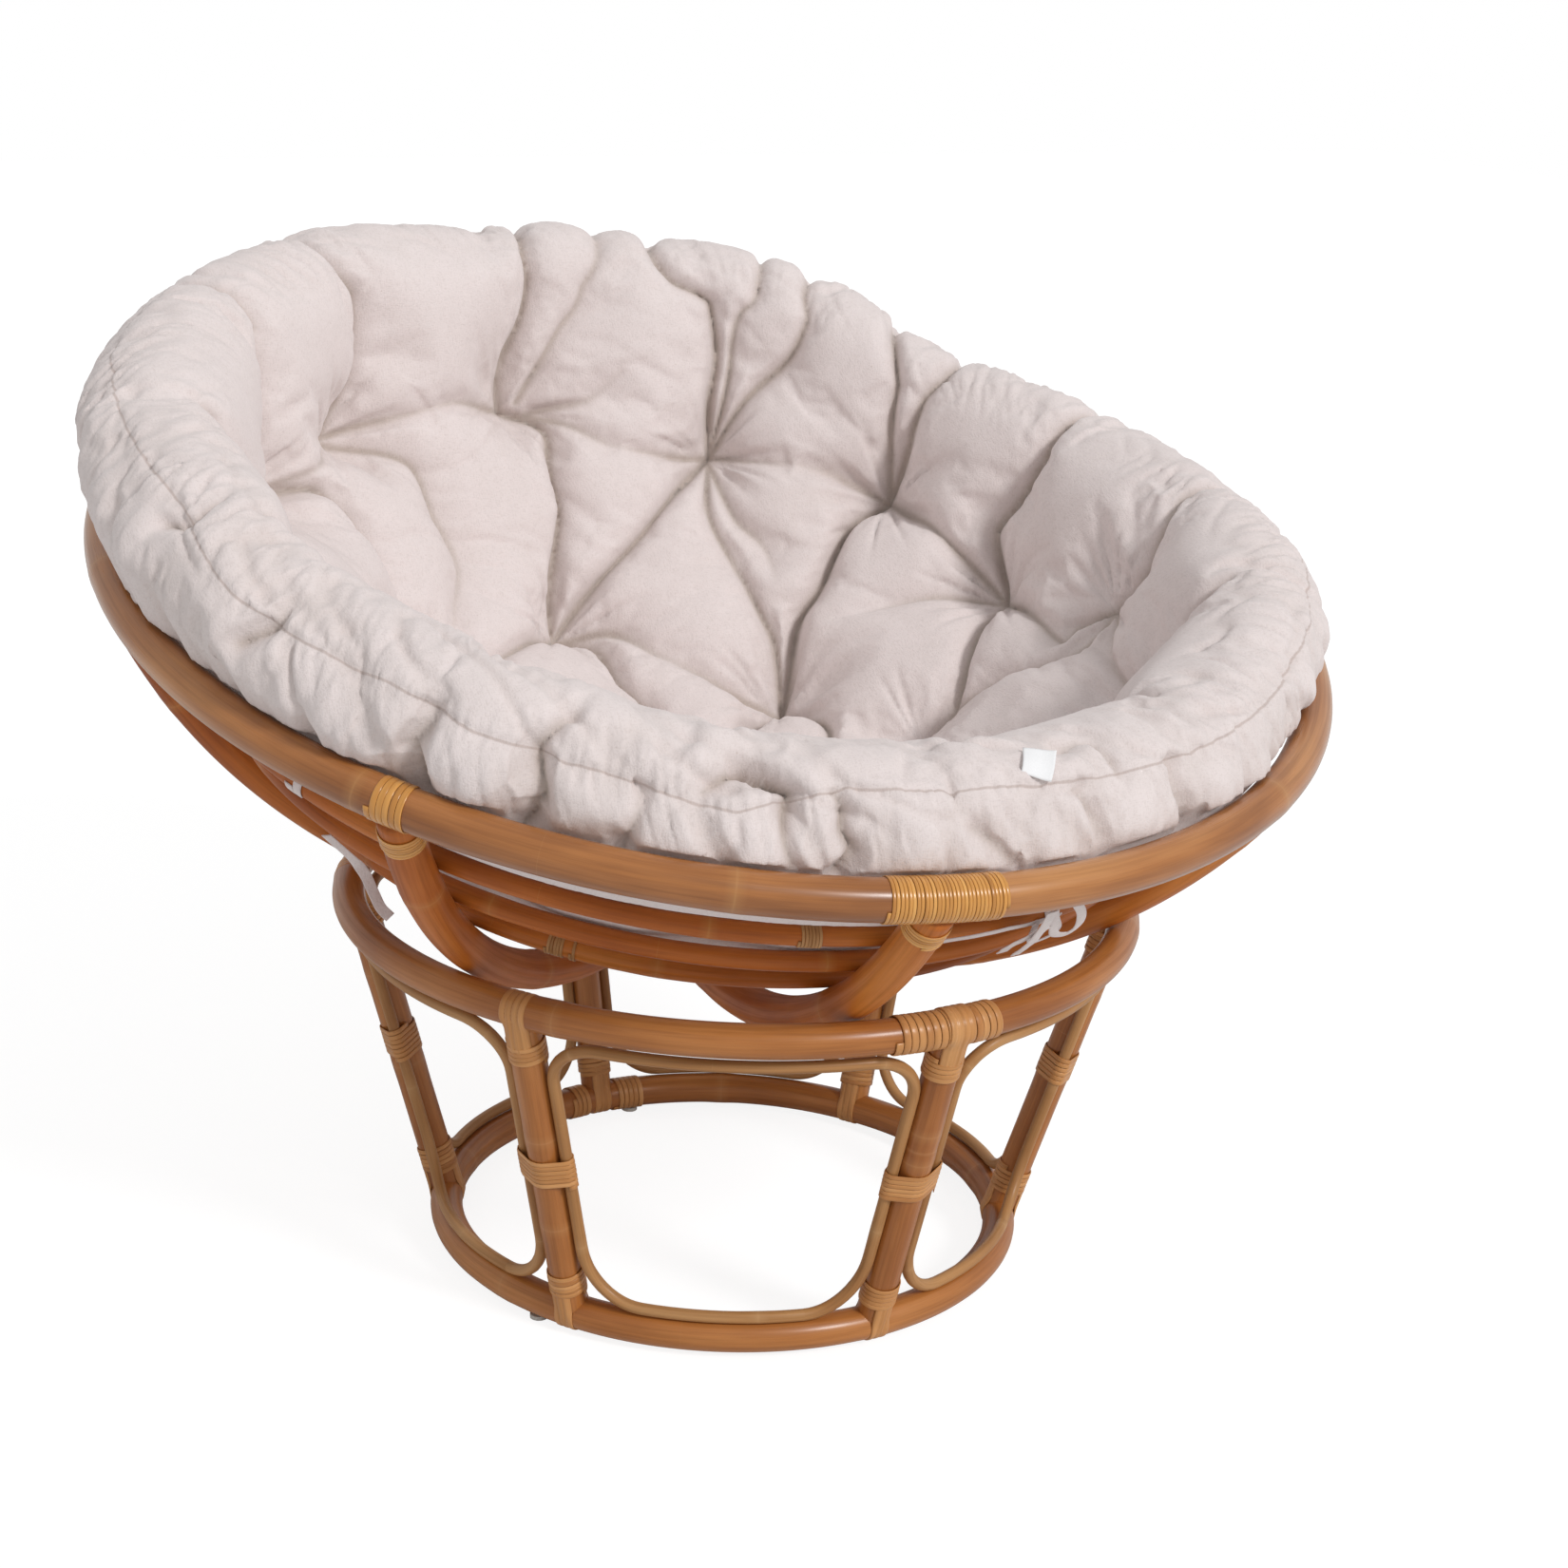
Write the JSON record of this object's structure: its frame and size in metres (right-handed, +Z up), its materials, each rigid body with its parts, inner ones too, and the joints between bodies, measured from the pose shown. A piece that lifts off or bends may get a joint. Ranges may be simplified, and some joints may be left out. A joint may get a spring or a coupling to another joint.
{
  "type": "papasan chair",
  "caption": "Round lounge chair: a tufted cushion tied into a dished cane bowl that rests loose, tilted, on a flared round cane stand with looped bays.",
  "frame": {"origin": "on the floor below the middle of the whole chair's footprint; the stand's own axis is 53 mm nearer the front", "axes": "+Z up, the open front that the bowl leans towards is -Y, and +X is the sitter's left"},
  "size_m": [1.1024, 1.0734, 0.865],
  "materials": {
    "stand_pole": "satin",
    "loop_pole": "satin",
    "cane_strip": "satin",
    "rim_pole": "satin",
    "rib_pole": "satin",
    "glide": "matte",
    "screw": "satin",
    "cushion_cloth": "matte",
    "label": "matte"
  },
  "bodies": {
    "stand": {"stand_top_ring": "stand_pole", "stand_bottom_ring": "stand_pole", "stand_post_1": "stand_pole", "stand_post_2": "stand_pole", "stand_post_3": "stand_pole", "stand_post_4": "stand_pole", "stand_post_5": "stand_pole", "stand_post_6": "stand_pole", "bay_loop_1": "loop_pole", "bay_loop_2": "loop_pole", "bay_loop_3": "loop_pole", "bay_loop_4": "loop_pole", "bay_loop_5": "loop_pole", "bay_loop_6": "loop_pole", "post_1_top_lashing": "cane_strip", "post_1_middle_lashing": "cane_strip", "post_1_bottom_lashing": "cane_strip", "post_2_top_lashing": "cane_strip", "post_2_middle_lashing": "cane_strip", "post_2_bottom_lashing": "cane_strip", "post_3_top_lashing": "cane_strip", "post_3_middle_lashing": "cane_strip", "post_3_bottom_lashing": "cane_strip", "post_4_top_lashing": "cane_strip", "post_4_middle_lashing": "cane_strip", "post_4_bottom_lashing": "cane_strip", "post_5_top_lashing": "cane_strip", "post_5_middle_lashing": "cane_strip", "post_5_bottom_lashing": "cane_strip", "post_6_top_lashing": "cane_strip", "post_6_middle_lashing": "cane_strip", "post_6_bottom_lashing": "cane_strip", "top_ring_lashing": "cane_strip", "stand_glide_1": "glide", "stand_glide_2": "glide", "stand_glide_3": "glide"},
    "bowl": {"bowl_rim": "rim_pole", "long_rib_side": "rib_pole", "long_rib_front": "rib_pole", "short_rib_1": "rib_pole", "short_rib_2": "rib_pole", "short_rib_3": "rib_pole", "short_rib_4": "rib_pole", "crossing_screw": "screw", "upper_hoop": "rib_pole", "middle_hoop": "rib_pole", "lower_hoop": "rib_pole", "bottom_hoop": "rib_pole", "rib_lashing_1": "cane_strip", "rib_lashing_2": "cane_strip", "rib_lashing_3": "cane_strip", "rib_lashing_4": "cane_strip", "rib_lashing_6": "cane_strip", "rim_splice_lashing": "cane_strip", "cushion": "cushion_cloth", "cushion_label": "label", "front_cushion_tie": "cushion_cloth", "left_cushion_tie": "cushion_cloth"}
  },
  "joints": [
    {"name": "bowl_tilt", "type": "hinge", "parent": "stand", "child": "bowl", "pos_m": [0, -0.05314, 0.83621], "axis": [1, 0, 0], "range_deg": [-13.3, 12]}
  ]
}
